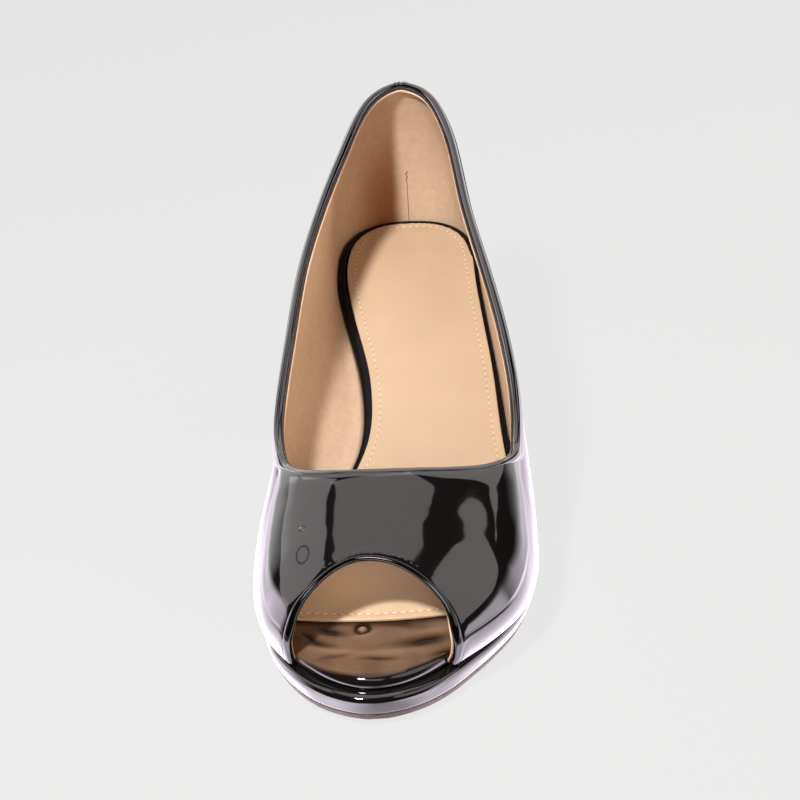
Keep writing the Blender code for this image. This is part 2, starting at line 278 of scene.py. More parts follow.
def stitchRow(name, marks, size, material, slot):
    # one stitch is shaped from a ball, then copied to each mark and joined
    length, thick, sink = size
    bpy.ops.object.select_all(action="DESELECT")
    bpy.ops.mesh.primitive_uv_sphere_add(segments=8, ring_count=6, radius=1.0, rotation=(0, math.pi / 2, 0))
    model = bpy.context.active_object
    bpy.ops.object.transform_apply(location=True, rotation=True, scale=True)
    for vert in model.data.vertices:
        x, y, z = vert.co
        vert.co = (x * length / 2 * mm, y * thick / 2 * mm, (z * thick / 2 - 0.5 * thick * x * x - sink) * mm)
    copies = []
    for place, out, along, beyond in marks:
        twist = Matrix((along, out.cross(along), out)).transposed().to_4x4()
        copy = model.copy()
        copy.data = model.data.copy()
        copy.data.transform(Matrix.Translation(place) @ twist)
        scene.collection.objects.link(copy)
        copies.append(copy)
    bpy.data.objects.remove(model)
    bpy.ops.object.select_all(action="DESELECT")
    for copy in copies:
        copy.select_set(True)
    bpy.context.view_layer.objects.active = copies[0]
    bpy.ops.object.join()
    copies[0].name = copies[0].data.name = name
    return finishPiece(copies[0], material, slot)


# shared effects, as node groups; a helper finds its node tree by the socket that it is given

def newGroup(name, inputs, outputs):
    group = bpy.data.node_groups.new(name, "ShaderNodeTree")
    for side, sockets in (("INPUT", inputs), ("OUTPUT", outputs)):
        for socketName, start in sockets.items():
            socket = group.interface.new_socket(name=socketName, in_out=side, socket_type="NodeSocketFloat")
            socket.default_value = start
    return group, group.nodes.new("NodeGroupInput"), group.nodes.new("NodeGroupOutput")


def node(tree, kind, values=None, **settings):
    made = tree.nodes.new(kind)
    for key, value in settings.items():
        setattr(made, key, value)
    return setInputs(made, values or {})


def setInputs(made, values):
    for key, value in values.items():
        made.inputs[key.replace("_", " ")].default_value = value
    return made


def feed(source, target):
    target.id_data.links.new(source, target)


def math2(operation, a, b):
    tree = next(value.id_data for value in (a, b) if not isinstance(value, (int, float)))
    made = node(tree, "ShaderNodeMath", operation=operation)
    for k, value in enumerate((a, b)):
        if isinstance(value, (int, float)):
            made.inputs[k].default_value = value
        else:
            feed(value, made.inputs[k])
    return made.outputs[0]


def product(first, *others):
    for other in others:
        first = math2("MULTIPLY", first, other)
    return first


def grainGroup():
    # fine leather grain: pores and soft cloudy tone
    group, given, put = newGroup("leatherGrain", {"Grain Scale": 900.0, "Cloud Scale": 60.0},
                                 {"Height": 0.0, "Tone": 0.5})
    place = node(group, "ShaderNodeTexCoord").outputs["Object"]
    pores = node(group, "ShaderNodeTexVoronoi", {"Randomness": 1.0})
    fine = node(group, "ShaderNodeTexNoise", {"Detail": 4.0, "Roughness": 0.6})
    cloud = node(group, "ShaderNodeTexNoise", {"Detail": 3.0, "Roughness": 0.5})
    for texture, scale in ((pores, "Grain Scale"), (fine, "Grain Scale"), (cloud, "Cloud Scale")):
        feed(place, texture.inputs["Vector"])
        feed(given.outputs[scale], texture.inputs["Scale"])
    height = math2("ADD", pores.outputs["Distance"], fine.outputs["Fac"])
    feed(height, put.inputs["Height"])
    feed(cloud.outputs["Fac"], put.inputs["Tone"])
    return group


def lacquerGroup(speckSize=0.022):
    # lacquer film: slow waves, faint haze and a few dust specks
    group, given, put = newGroup("lacquerFilm", {"Wave Scale": 90.0, "Speck Scale": 120.0},
                                 {"Height": 0.0, "Haze": 0.5, "Specks": 0.0})
    place = node(group, "ShaderNodeTexCoord").outputs["Object"]
    wave = node(group, "ShaderNodeTexNoise", {"Detail": 1.0, "Roughness": 0.4})
    haze = node(group, "ShaderNodeTexNoise", {"Scale": 40.0, "Detail": 4.0})
    dust = node(group, "ShaderNodeTexVoronoi", {"Randomness": 1.0})
    for texture in (wave, haze, dust):
        feed(place, texture.inputs["Vector"])
    feed(given.outputs["Wave Scale"], wave.inputs["Scale"])
    feed(given.outputs["Speck Scale"], dust.inputs["Scale"])
    speck = math2("LESS_THAN", dust.outputs["Distance"], speckSize)
    feed(wave.outputs["Fac"], put.inputs["Height"])
    feed(haze.outputs["Fac"], put.inputs["Haze"])
    feed(speck, put.inputs["Specks"])
    return group


marksLook = {
    "width": 0.24,
    "marks": [((-27.4, -80.5, 34.9), (2.0, 3.1, 3.1)), ((-27.9, -71.3, 38.0), (1.1, 0.9, 1.6)),
        ((-29.0, -61.7, 41.1), (0.4, 0.4, 0.8))]
}


def marksGroup():
    # press marks in the lacquer: thin sunk rings at the places where the vamp shows them
    group, given, put = newGroup("pressMarks", {"Depth": 1.0}, {"Height": 0.0, "Dull": 0.0})
    place = node(group, "ShaderNodeTexCoord").outputs["Object"]
    total = 0.0
    for centre, halves in marksLook["marks"]:
        away = node(group, "ShaderNodeVectorMath", operation="SUBTRACT")
        feed(place, away.inputs[0])
        away.inputs[1].default_value = Vector(centre) * mm
        scaled = node(group, "ShaderNodeVectorMath", operation="DIVIDE")
        feed(away.outputs["Vector"], scaled.inputs[0])
        scaled.inputs[1].default_value = Vector(halves) * mm
        reach = node(group, "ShaderNodeVectorMath", operation="LENGTH")
        feed(scaled.outputs["Vector"], reach.inputs[0])
        ring = math2("ABSOLUTE", math2("SUBTRACT", reach.outputs["Value"], 1.0), 0.0)
        total = math2("ADD", stepped(ring, marksLook["width"] / 2, marksLook["width"], -1.0, 0.0), total)
    feed(math2("MULTIPLY", total, given.outputs["Depth"]), put.inputs["Height"])
    feed(math2("MULTIPLY", total, -1.0), put.inputs["Dull"])
    return group


grain = grainGroup()
lacquer = lacquerGroup()


def newMaterial(name, **values):
    material = bpy.data.materials.new(name)
    material.use_nodes = True
    return material, material.node_tree, setInputs(material.node_tree.nodes["Principled BSDF"], values)


def groupNode(tree, group, **values):
    return setInputs(node(tree, "ShaderNodeGroup", node_tree=group), values)


def mixed(share, first, second):
    # two shaders mixed by a share
    mix = node(share.id_data, "ShaderNodeMixShader")
    for k, source in enumerate((share, first, second)):
        feed(source, mix.inputs[k])
    return mix.outputs["Shader"]


def colourRamp(fac, stops):
    ramp = node(fac.id_data, "ShaderNodeValToRGB")
    elements = ramp.color_ramp.elements
    while len(elements) < len(stops):
        elements.new(0.5)
    for element, (position, colour) in zip(elements, stops):
        element.position = position
        element.color = (*colour, 1)
    feed(fac, ramp.inputs["Fac"])
    return ramp.outputs["Color"]


def toneRamp(fac, dark, light):
    return colourRamp(fac, [(0.3, dark), (0.7, light)])


def colourMix(share, first, second, blend="MIX"):
    # each colour is a socket or three numbers
    mix = node(share.id_data, "ShaderNodeMix", data_type="RGBA", blend_type=blend)
    feed(share, mix.inputs["Factor"])
    for k, colour in ((6, first), (7, second)):
        if isinstance(colour, tuple):
            mix.inputs[k].default_value = (*colour, 1)
        else:
            feed(colour, mix.inputs[k])
    return mix.outputs[2]


def placeAxes(tree, kind="Object"):
    axes = node(tree, "ShaderNodeSeparateXYZ")
    feed(node(tree, "ShaderNodeTexCoord").outputs[kind], axes.inputs["Vector"])
    return [axes.outputs[axis] for axis in "XYZ"]


def spread(fac, low, high):
    made = node(fac.id_data, "ShaderNodeMapRange", {"To Min": low, "To Max": high})
    feed(fac, made.inputs["Value"])
    return made.outputs["Result"]


def stepped(value, low, high, start=0.0, end=1.0):
    values = {"From Min": low, "From Max": high, "To Min": start, "To Max": end}
    made = node(value.id_data, "ShaderNodeMapRange", values, interpolation_type="SMOOTHSTEP")
    feed(value, made.inputs["Value"])
    return made.outputs["Result"]


def falling(value, low, high):
    return stepped(value, low, high, 1.0, 0.0)


def bumped(shader, height, strength, distance):
    bump = node(height.id_data, "ShaderNodeBump", {"Strength": strength, "Distance": distance})
    feed(height, bump.inputs["Height"])
    feed(bump.outputs["Normal"], shader.inputs["Normal"])
    feed(bump.outputs["Normal"], shader.inputs["Coat Normal"])


patentLook = {
    "black": (0.0045, 0.004, 0.0044), "dust": (0.03, 0.029, 0.03), "gloss": (0.03, 0.075), "specular": 0.55,
    "coat": 0.1, "coatRoughness": 0.02, "coatFrom": (0.35, 0.95), "coatEdge": 0.8, "markDull": 0.95, "markDepth": 0.6,
    "waves": 90.0, "waveDepth": 0.06
}


def filmMaterial(name, waves, specular):
    # what every patent shares: the lacquer film and its gloss
    material, tree, shader = newMaterial(name, Specular_IOR_Level=specular,
                                         Coat_Roughness=patentLook["coatRoughness"])
    return material, tree, shader, groupNode(tree, lacquer, Wave_Scale=waves)


def patentMaterial(name, waves=patentLook["waves"], depth=patentLook["waveDepth"], specular=patentLook["specular"],
                   coat=patentLook["coat"], edge=patentLook["coatEdge"], marks=None):
    material, tree, shader, film = filmMaterial(name, waves, specular)
    tone = toneRamp(film.outputs["Specks"], patentLook["black"], patentLook["dust"])
    feed(tone, shader.inputs["Base Color"])
    facing = node(tree, "ShaderNodeLayerWeight", {"Blend": 0.5}).outputs["Facing"]
    feed(stepped(facing, *patentLook["coatFrom"], coat, edge), shader.inputs["Coat Weight"])
    rough = spread(film.outputs["Haze"], *patentLook["gloss"])
    height = film.outputs["Height"]
    if marks:
        pressed = groupNode(tree, marks, Depth=patentLook["markDepth"])
        height = math2("ADD", height, pressed.outputs["Height"])
        rough = math2("ADD", rough, product(pressed.outputs["Dull"], patentLook["markDull"]))
    feed(rough, shader.inputs["Roughness"])
    bumped(shader, height, 1.0, depth * mm)
    return material


# places in metres; bow is the middle and the curve of the insole's front outline
brownLook = {
    "stops": [(0.0, (0.014, 0.008, 0.005)), (0.40, (0.095, 0.054, 0.033)), (0.62, (0.150, 0.090, 0.056)),
        (1.0, (0.22, 0.14, 0.09))],
    "mottle": 130.0, "mottleShare": 0.45, "creaseShadeShare": 1.5, "bow": (-0.007, 19.0), "front": (-0.1122, -0.1100),
    "back": (-0.087, -0.082), "edge": (0.006, 0.0045, 0.0045), "lip": (-0.1127, -0.1100), "lipCoat": 0.8,
    "gloss": (0.06, 0.22)
}


def insoleMaterial(name, waves, depth, specular):
    # black patent with a glossy lip, brown and duller where the insole shows in the peep toe
    material, tree, shader, film = filmMaterial(name, waves, specular)
    bumped(shader, film.outputs["Height"], 1.0, depth * mm)
    x, y, z = placeAxes(tree)
    mottle = node(tree, "ShaderNodeTexNoise", {"Scale": brownLook["mottle"], "Detail": 3.0})
    feed(node(tree, "ShaderNodeTexCoord").outputs["Object"], mottle.inputs["Vector"])
    creaseShade = node(tree, "ShaderNodeAttribute", attribute_name="creaseShade")
    # the brown's tone carries painted shade: lighter on raised wrinkles, darker in dents and in a shadow line beside
    # the sock
    tone = math2("ADD", product(mottle.outputs["Fac"], brownLook["mottleShare"]),
                 product(creaseShade.outputs["Fac"], brownLook["creaseShadeShare"]))
    tone = math2("ADD", tone, 0.5 - brownLook["mottleShare"] / 2)
    brown = colourRamp(tone, brownLook["stops"])
    middle, curve = brownLook["bow"]
    aside = math2("SUBTRACT", x, middle)
    ahead = math2("SUBTRACT", y, product(aside, aside, curve))
    shown = product(stepped(ahead, *brownLook["front"]), falling(y, *brownLook["back"]))
    feed(colourMix(shown, brownLook["edge"], brown), shader.inputs["Base Color"])
    feed(stepped(ahead, *brownLook["lip"], brownLook["lipCoat"], 0.0), shader.inputs["Coat Weight"])
    feed(stepped(shown, 0.0, 1.0, *brownLook["gloss"]), shader.inputs["Roughness"])
    return material


def leatherMaterial(name, dark, light, gloss, grainScale, depth, cloudScale=60.0):
    material, tree, shader = newMaterial(name)
    skin = groupNode(tree, grain, Grain_Scale=grainScale, Cloud_Scale=cloudScale)
    feed(toneRamp(skin.outputs["Tone"], dark, light), shader.inputs["Base Color"])
    feed(spread(skin.outputs["Height"], *gloss), shader.inputs["Roughness"])
    bumped(shader, skin.outputs["Height"], 0.6, depth * mm)
    return material


# places in metres; painted shade: a deeper, oranger tint on the lining where the heel lies in shadow
heelShadeTint = {
    "tint": (0.60, 0.34, 0.20), "inner": (-0.024, -0.008), "seam": (-0.004, 0.001), "from": (0.066, 0.088),
    "height": (0.064, 0.104), "top": 0.3
}


leatherLook = {   # dark and light tone, gloss, grain scale, depth, cloud scale
    "tanLining": ((0.56, 0.40, 0.28), (0.62, 0.46, 0.33), (0.5, 0.62), 1400.0, 0.05, 420.0),
    "tanSock": ((0.50, 0.365, 0.242), (0.53, 0.39, 0.262), (0.38, 0.5), 1100.0, 0.04),
    "liningCutEdge": ((0.58, 0.41, 0.29), (0.66, 0.48, 0.36), (0.6, 0.7), 2500.0, 0.05),
    "creamThread": ((0.68, 0.55, 0.41), (0.76, 0.63, 0.48), (0.5, 0.65), 6000.0, 0.05),
    "blackThread": ((0.006, 0.005, 0.006), (0.014, 0.013, 0.014), (0.3, 0.45), 6000.0, 0.05),
    "seamShade": ((0.13, 0.065, 0.032), (0.18, 0.095, 0.052), (0.6, 0.7), 3000.0, 0.03),
    "turnedLeather": ((0.012, 0.007, 0.005), (0.022, 0.012, 0.009), (0.35, 0.5), 2500.0, 0.05),
    "outsoleRubber": ((0.040, 0.026, 0.022), (0.055, 0.036, 0.030), (0.5, 0.65), 700.0, 0.15),
}


def paintHeelShade(material):
    # painted shade: the lining's colour is darkened to a deeper, oranger tan round the inner half of the heel, where
    # the key lamp's shadow falls
    tree = material.node_tree
    colour = tree.nodes["Principled BSDF"].inputs["Base Color"]
    x, y, z = placeAxes(tree)
    share = product(stepped(x, *heelShadeTint["inner"]), falling(x, *heelShadeTint["seam"]),
                    stepped(y, *heelShadeTint["from"]), stepped(z, *heelShadeTint["height"], 1.0, heelShadeTint["top"]))
    feed(colourMix(share, colour.links[0].from_socket, heelShadeTint["tint"], "MULTIPLY"), colour)


patent = patentMaterial("blackPatent", marks=marksGroup())
edgePatent = patentMaterial("boundPatent", waves=160.0, depth=0.05, specular=0.85)
beadPatent = patentMaterial("beadPatent", waves=160.0, depth=0.012, specular=0.35, coat=0.0, edge=0.1)
wedgePatent = patentMaterial("wedgePatent", waves=60.0, depth=0.05)
insolePatent = insoleMaterial("insolePatent", waves=110.0, depth=0.04, specular=0.08)
leather = {name: leatherMaterial(name, *look) for name, look in leatherLook.items()}
paintHeelShade(leather["tanLining"])
print("materials ready:", len(bpy.data.materials))


# the upper's two walls: the patent skin outside and the lining inside

skinLook = {
    "levels": 2, "thickness": 0.9, "waveLength": 13.0, "waveHeight": 0.12, "rippleLength": 5.0, "rippleHeight": 0.02,
    "throatCurl": (6.0, 0.9), "outerCurl": (2.5, 0.45), "outerFrom": (4.0, 20.0), "cornerFlat": (29.0, 36.0),
    "peepCurl": (2.2, 0.35), "pinch": {"in": 2.1, "reach": 9.0, "top": (0.02, 0.32), "foot": (0.50, 0.95)},
    "peepPull": {"at": 4.3, "width": 0.8, "depth": -0.13, "x": -9.5, "reach": 6.5},
    "dents": [((-27.4, -80.5, 34.9), 3.4, -0.10), ((-27.9, -71.3, 38.0), 1.8, -0.08),
        ((-35.0, -62.0, 33.0), 7.0, -0.10), ((30.0, -78.0, 31.0), 9.0, -0.05), ((-8.0, -75.0, 40.0), 10.0, 0.06)]
}
seedLook = {"behind": 80.0, "x": 3.0, "z": 80.0, "facing": 0.9}


def heelFace(piece, facing):
    # the seed on the outer wall (facing 1) or the inner wall (facing -1), at the back of the heel
    wanted = [f for f in piece.data.polygons
              if f.normal.y * facing > seedLook["facing"] and f.center.y > seedLook["behind"] * mm]
    return min(wanted, key=lambda f: abs(f.center.x - seedLook["x"] * mm) + abs(f.center.z - seedLook["z"] * mm)).index


tuckLook = {
    "in": 1.0, "belly": 2.0, "from": (20.0, 60.0), "to": (100.0, 114.0), "above": (57.0, 70.0), "side": (8.0, 20.0),
    "collar": (65.4, 0.433), "below": (-12.0, -2.0)
}


def tuckOuter(piece):
    # the outer quarter stands a little closer to the foot than the last, and has less belly
    def moveAt(co, normal):
        x, y, z = co / mm
        share = smoothStep(*tuckLook["from"], y) * (1 - smoothStep(*tuckLook["to"], y))
        share *= smoothStep(*tuckLook["above"], z) * smoothStep(*tuckLook["side"], x)
        under = z - tuckLook["collar"][0] - tuckLook["collar"][1] * y
        belly = tuckLook["belly"] * (1 - smoothStep(*tuckLook["below"], under))
        return Vector((-(tuckLook["in"] + belly) * share * mm, 0, 0))

    lifted(piece, moveAt)


def curlEdges(piece, throat, peep, inwards):
    # the edges dip towards the foot, so that the gloss breaks in a band beside them
    throatTree, peepTree = nearTree(throat), nearTree(peep)

    def dipAt(tree, co, reach, depth):
        share = max(0.0, 1 - tree.find(co)[2] / (reach * mm))
        return depth * share * share

    def moveAt(co, normal):
        # the throat rolls over further at its outer end, up to the flat corner
        outer = smoothStep(*skinLook["outerFrom"], co.x / mm)
        corner = 1 - smoothStep(*skinLook["cornerFlat"], co.x / mm)
        reach, depth = (skinLook["throatCurl"][k] + skinLook["outerCurl"][k] * outer for k in range(2))
        dip = dipAt(throatTree, co, reach, depth * corner) + dipAt(peepTree, co, *skinLook["peepCurl"])
        return normal * dip * inwards * mm

    lifted(piece, moveAt)


def pinchPeep(piece, peep):
    # the sides of the peep toe draw in, which gives its arch a point
    pinch, tree, last = skinLook["pinch"], nearTree(peep), len(peep) - 1

    def moveAt(co, normal):
        place, index, away = tree.find(co)
        side = abs(2 * index / last - 1)
        share = smoothStep(*pinch["top"], side) * (1 - smoothStep(*pinch["foot"], side))
        return peep[index][3] * pinch["in"] * share * (1 - smoothStep(0, pinch["reach"], away / mm)) * mm

    lifted(piece, moveAt)


def waveSkin(piece, peep):
    # slow handling waves and listed dents
    length, height = skinLook["waveLength"] * mm, skinLook["waveHeight"] * mm
    ripple, low = skinLook["rippleLength"] * mm, skinLook["rippleHeight"] * mm
    pull, peepTree = skinLook["peepPull"], nearTree(peep)

    def moveAt(co, normal):
        lift = noise.noise(co / length) * height + noise.noise(co / ripple) * low
        away = peepTree.find(co)[2] / mm
        pulled = bell(away - pull["at"], pull["width"]) * bell(co.x / mm - pull["x"], pull["reach"])
        lift += pull["depth"] * mm * pulled
        for place, width, depth in skinLook["dents"]:
            lift += depth * mm * bell((co - Vector(place) * mm).length, width * mm)
        return normal * lift

    lifted(piece, moveAt)


def topAndFoot(piece):
    return sorted(edgePaths(piece), key=lambda path: -max(f[0].z for f in path))


def throatPart(path, ahead=-41.0):
    return [f for f in path if f[0].y < ahead * mm]


def peepPart(path, level=9.6, toe=-60.0):
    # the run of the foot edge that goes over the peep toe
    top = max(range(len(path)), key=lambda i: path[i][0].z if path[i][0].y < toe * mm else 0)
    ring = path[top:] + path[:top]
    ahead = next(i for i in range(len(ring)) if ring[i][0].z < level * mm)
    behind = next(i for i in range(len(ring)) if ring[-i][0].z < level * mm)
    return ring[-behind:] + ring[:ahead + 1]


def makeWall(pieceName, facing):
    # the outer wall (facing 1) or the inner wall (facing -1), with its collar and foot edges
    piece = copyOfNode("upper", pieceName)
    keepWall(piece, heelFace(piece, facing))
    toQuads(piece)
    tuckOuter(piece)
    subdivided(piece, skinLook["levels"])
    pinchPeep(piece, evenFrames(peepPart(topAndFoot(piece)[1]), closed=False))
    collarEnd, footEnd = topAndFoot(piece)
    curlEdges(piece, throatPart(collarEnd), peepPart(footEnd), -facing)
    collarEnd, footEnd = topAndFoot(piece)
    return piece, evenFrames(collarEnd, closed=True), footEnd


def thickened(piece, thickness):
    applied(piece, "SOLIDIFY", thickness=thickness * mm, offset=-1.0, use_even_offset=False)


skin, collarPath, footPath = makeWall("upperSkin", 1)
peepPath = evenFrames(peepPart(footPath), closed=False)
print("skin edges: collar", len(collarPath), "peep", len(peepPath))
skinTree = surfaceOf(skin)
waveSkin(skin, peepPath)
thickened(skin, skinLook["thickness"])
finishPiece(skin, patent, "upper", "upper")

liningLook = {"thickness": 0.6, "lean": 1.2, "leanReach": 5.0, "leanFrom": (-60.0, -35.0), "leanTo": (45.0, 80.0)}
insideWall, innerCollar, innerFoot = makeWall("upperLining", -1)
innerPeep = evenFrames(peepPart(innerFoot), closed=False)
footTree = nearTree(innerFoot)


def footLean(co, normal):
    # at the inner waist the lining's foot leans over the rim of the insole
    share = max(0.0, 1 - footTree.find(co)[2] / (liningLook["leanReach"] * mm)) if co.x < 0 else 0.0
    share *= smoothStep(*liningLook["leanFrom"], co.y / mm) * (1 - smoothStep(*liningLook["leanTo"], co.y / mm))
    return normal * liningLook["lean"] * share * mm


lifted(insideWall, footLean)
liningTree = surfaceOf(insideWall)
thickened(insideWall, liningLook["thickness"])
finishPiece(insideWall, leather["tanLining"], "upper")


# the folded collar: a rolled top, a groove and the turned-in edge inside

collarLook = {
    "pitch": 0.8, "throatRun": (-45.0, -37.0), "gatherLength": 3.0, "gatherHeight": 0.36,
    "gatherTurns": (2.4, 1.7, 3.1),
    "quarter": [(0.05, -4.2), (0.50, -3.9), (0.95, -2.9), (1.12, -1.8), (1.14, -0.9), (1.0, -0.05), (0.6, 0.5),
        (0.05, 0.78), (-0.6, 0.9), (-1.2, 0.82), (-1.6, 0.5), (-1.78, 0.05), (-1.8, -0.5), (-1.5, -1.2),
        (-0.8, -3.4)],
    "throat": [(0.02, -1.8), (0.10, -1.6), (0.18, -1.2), (0.22, -0.8), (0.20, -0.4), (0.12, 0.0), (-0.1, 0.3),
        (-0.5, 0.45), (-0.9, 0.48), (-1.25, 0.4), (-1.5, 0.2), (-1.65, -0.1), (-1.7, -0.5), (-1.5, -1.1),
        (-0.6, -1.7)],
    "turned": [(-1.5, -0.9), (-1.72, 0.0), (-1.95, 0.28), (-2.25, 0.25), (-2.5, -0.1), (-2.6, -0.7), (-2.5, -1.3),
        (-1.9, -1.6)],
    "turnedThroat": [(-1.5, -0.9), (-1.6, -0.3), (-1.75, -0.15), (-1.85, -0.2), (-1.92, -0.4), (-1.95, -0.7),
        (-1.9, -1.1), (-1.7, -1.3)]
}
collarPath = evenFrames(walk(collarPath, collarLook["pitch"] * mm, closed=True), closed=True)
backMiddle = max(range(len(collarPath)), key=lambda i: collarPath[i][0].y)
backCentre = collarPath[backMiddle][0]


def throatShare(place):
    # 1 across the throat, 0 along the quarters
    return 1 - smoothStep(*collarLook["throatRun"], place.y / mm)


def collarSection(i, first="quarter", second="throat"):
    place = collarPath[i][0]
    pucker = bell((place - backCentre).length / mm, collarLook["gatherLength"]) * collarLook["gatherHeight"]
    turnOut, slip, turnUp = collarLook["gatherTurns"]
    points = blended(collarLook[first], collarLook[second], throatShare(place))
    return [(out + pucker * math.sin(i * turnOut + k * slip), up + pucker * math.sin(i * turnUp + k))
            for k, (out, up) in enumerate(points)]


joinLook = {
    "count": 7, "spacing": 0.75, "out": -0.55, "up": 0.92, "size": (2.0, 0.5, 0.0), "lean": 0.35, "scatter": 0.3,
    "scatterTurn": 2.1
}


def joinMarks():
    # short threads across the collar, where its two ends meet at the back
    middle, out, along, beyond = collarPath[backMiddle]
    marks = []
    for k in range(joinLook["count"]):
        aside = (k - (joinLook["count"] - 1) / 2) * joinLook["spacing"]
        lean = (out + along * joinLook["lean"] * (1 if k % 2 else -1)).normalized()
        above = joinLook["out"] + joinLook["scatter"] * math.sin(k * joinLook["scatterTurn"])
        place = middle + (out * above + beyond * joinLook["up"] + along * aside) * mm
        marks.append(squareFrame(place, beyond, lean, along))
    return marks


collar = band("collarFold", collarPath, collarSection, True, edgePatent)
band("collarTurnedEdge", collarPath, lambda i: collarSection(i, "turned", "turnedThroat"), True,
     leather["turnedLeather"])
stitchRow("collarJoin", joinMarks(), joinLook["size"], edgePatent, "upper")


# the pale cut edge of the lining, under the collar's turned-in edge and inside the peep toe

edgeLook = {
    "sides": (0.22, 0.62), "inner": -6.0, "innerShare": 0.6,
    "collar": [(0.0, -2.8), (0.8, -2.5), (1.25, -1.8), (1.3, -1.1), (0.9, -0.6), (0.1, -0.7), (-0.3, -1.7)],
    "throat": [(0.0, -1.9), (0.15, -1.7), (0.25, -1.4), (0.25, -1.1), (0.2, -0.9), (0.05, -0.9), (-0.2, -1.4)],
    "peep": [(0.0, -1.2), (0.45, -0.9), (0.72, 0.3), (0.68, 1.3), (0.4, 1.8), (0.05, 1.75), (-0.15, 0.7),
        (-0.2, -0.7)],
    "peepTop": [(0.0, -1.2), (0.2, -0.9), (0.25, -0.5), (0.2, -0.2), (0.1, 0.0), (0.0, 0.0), (-0.15, -0.3),
        (-0.2, -0.7)]
}


def sideShare(i, count):
    # 0 over the top of the peep toe, 1 down its sides
    return smoothStep(*edgeLook["sides"], abs(2 * i / (count - 1) - 1))


def peepEdgeSection(i):
    share = sideShare(i, len(innerPeep))
    if innerPeep[i][0].x < edgeLook["inner"] * mm:
        share *= edgeLook["innerShare"]
    return blended(edgeLook["peepTop"], edgeLook["peep"], share)


def collarEdgeSection(i):
    return blended(edgeLook["collar"], edgeLook["throat"], throatShare(innerCollar[i][0]))


band("liningEdgeCollar", innerCollar, collarEdgeSection, True, leather["liningCutEdge"])
band("liningEdgePeep", innerPeep, peepEdgeSection, False, leather["liningCutEdge"])


# the rolled binding of the peep toe

peepLook = {
    "half": 1.15, "depth": -0.8, "topLength": 0.95, "sideLength": 1.55, "behind": -1.15, "full": 2.4, "points": 18
}


def rounded(value):
    return math.copysign(abs(value) ** (2 / peepLook["full"]), value)


def peepSection(i):
    share = sideShare(i, len(peepPath))
    length = peepLook["topLength"] + (peepLook["sideLength"] - peepLook["topLength"]) * share
    points = []
    for k in range(peepLook["points"]):
        turn = 2 * math.pi * k / peepLook["points"]
        points.append((peepLook["depth"] + peepLook["half"] * rounded(math.cos(turn)),
                       peepLook["behind"] + length + length * rounded(math.sin(turn))))
    return points


peepRoll = band("peepBinding", peepPath, peepSection, False, beadPatent)


# the stitch row behind the peep binding

stitchLook = {
    "peepInset": 2.2, "peepPitch": 2.0, "peepSize": (1.5, 0.42, 0.0), "peepAbove": 33.6, "sockInset": 3.0,
    "insetSlack": 0.15, "sockPitch": 2.7, "sockSize": (1.8, 0.6, 0.05), "holeSize": (0.7, 0.7, 0.22)
}


def onSurface(tree, place, out):
    near, normal, index, distance = tree.find_nearest(place)
    return near, (normal if normal.dot(out) > 0 else -normal)


def insetPath(frames, tree, inset):
    moved = []
    for place, out, along, beyond in frames:
        near, normal = onSurface(tree, place - beyond * inset * mm, out)
        moved.append((near, normal, along, beyond))
    return moved


peepOver = [f for f in peepPath if f[0].z > stitchLook["peepAbove"] * mm]
peepRow = insetPath(peepOver, skinTree, stitchLook["peepInset"])
peepMarks = walk(evenFrames(peepRow, closed=False), stitchLook["peepPitch"] * mm, closed=False)
stitchRow("peepStitches", peepMarks, stitchLook["peepSize"], leather["blackThread"], "upper")


# the upper's back seam: two edges that meet

outerSeamLook = {
    "from": 53.0, "below": 3.0, "step": 1.5, "start": 0.2,
    "section": [(-0.3, -0.62), (0.10, -0.42), (0.15, -0.22), (0.0, 0.0), (0.15, 0.22), (0.10, 0.42), (-0.3, 0.62)]
}


def outerSeamPath():
    points, z = [], outerSeamLook["from"]
    while z * mm < backCentre.z - outerSeamLook["below"] * mm:
        start = Vector((backCentre.x, outerSeamLook["start"], z * mm))
        place, normal = skinTree.ray_cast(start, Vector((0, -1, 0)))[:2]
        points.append((place, normal if normal.y > 0 else -normal))
        z += outerSeamLook["step"]
    return evenFrames(framesAlong(points, Vector((1, 0, 0))), closed=False)


band("upperBackSeam", outerSeamPath(), lambda i: outerSeamLook["section"], False, edgePatent)


# the lining's back seam with its tack, and the stitches that hold the heel stiffener

seamLook = {
    "x": 2.9, "from": 55.0, "to": 77.5, "step": 0.9, "start": 80.0,
    "line": [(-0.1, -0.16), (0.05, -0.12), (0.05, 0.12), (-0.1, 0.16)], "tackSize": (1.3, 0.34, 0.0),
    "tackLean": 0.75, "tacks": [(0.35, 76.9), (-0.45, 75.9), (0.3, 74.8), (-0.25, 73.8)],
    "stiffener": [(-27.8, 73.1, 62.4), (-27.2, 75.1, 57.0), (-26.4, 77.1, 51.8), (-25.6, 79.1, 46.8)],
    "stitchPitch": 3.0, "stitchSize": (1.7, 0.36, 0.0)
}


def heelMark(x, z, along):
    # a frame on the heel's lining, facing the foot
    place, normal = liningTree.ray_cast(Vector((x, seamLook["start"], z)) * mm, Vector((0, 1, 0)))[:2]
    return squareFrame(place, normal if normal.y < 0 else -normal, along, Vector((1, 0, 0)))


def backSeamPath():
    frames, z = [], seamLook["from"]
    while z < seamLook["to"]:
        frames.append(heelMark(seamLook["x"], z, Vector((0, 0, 1))))
        z += seamLook["step"]
    return frames


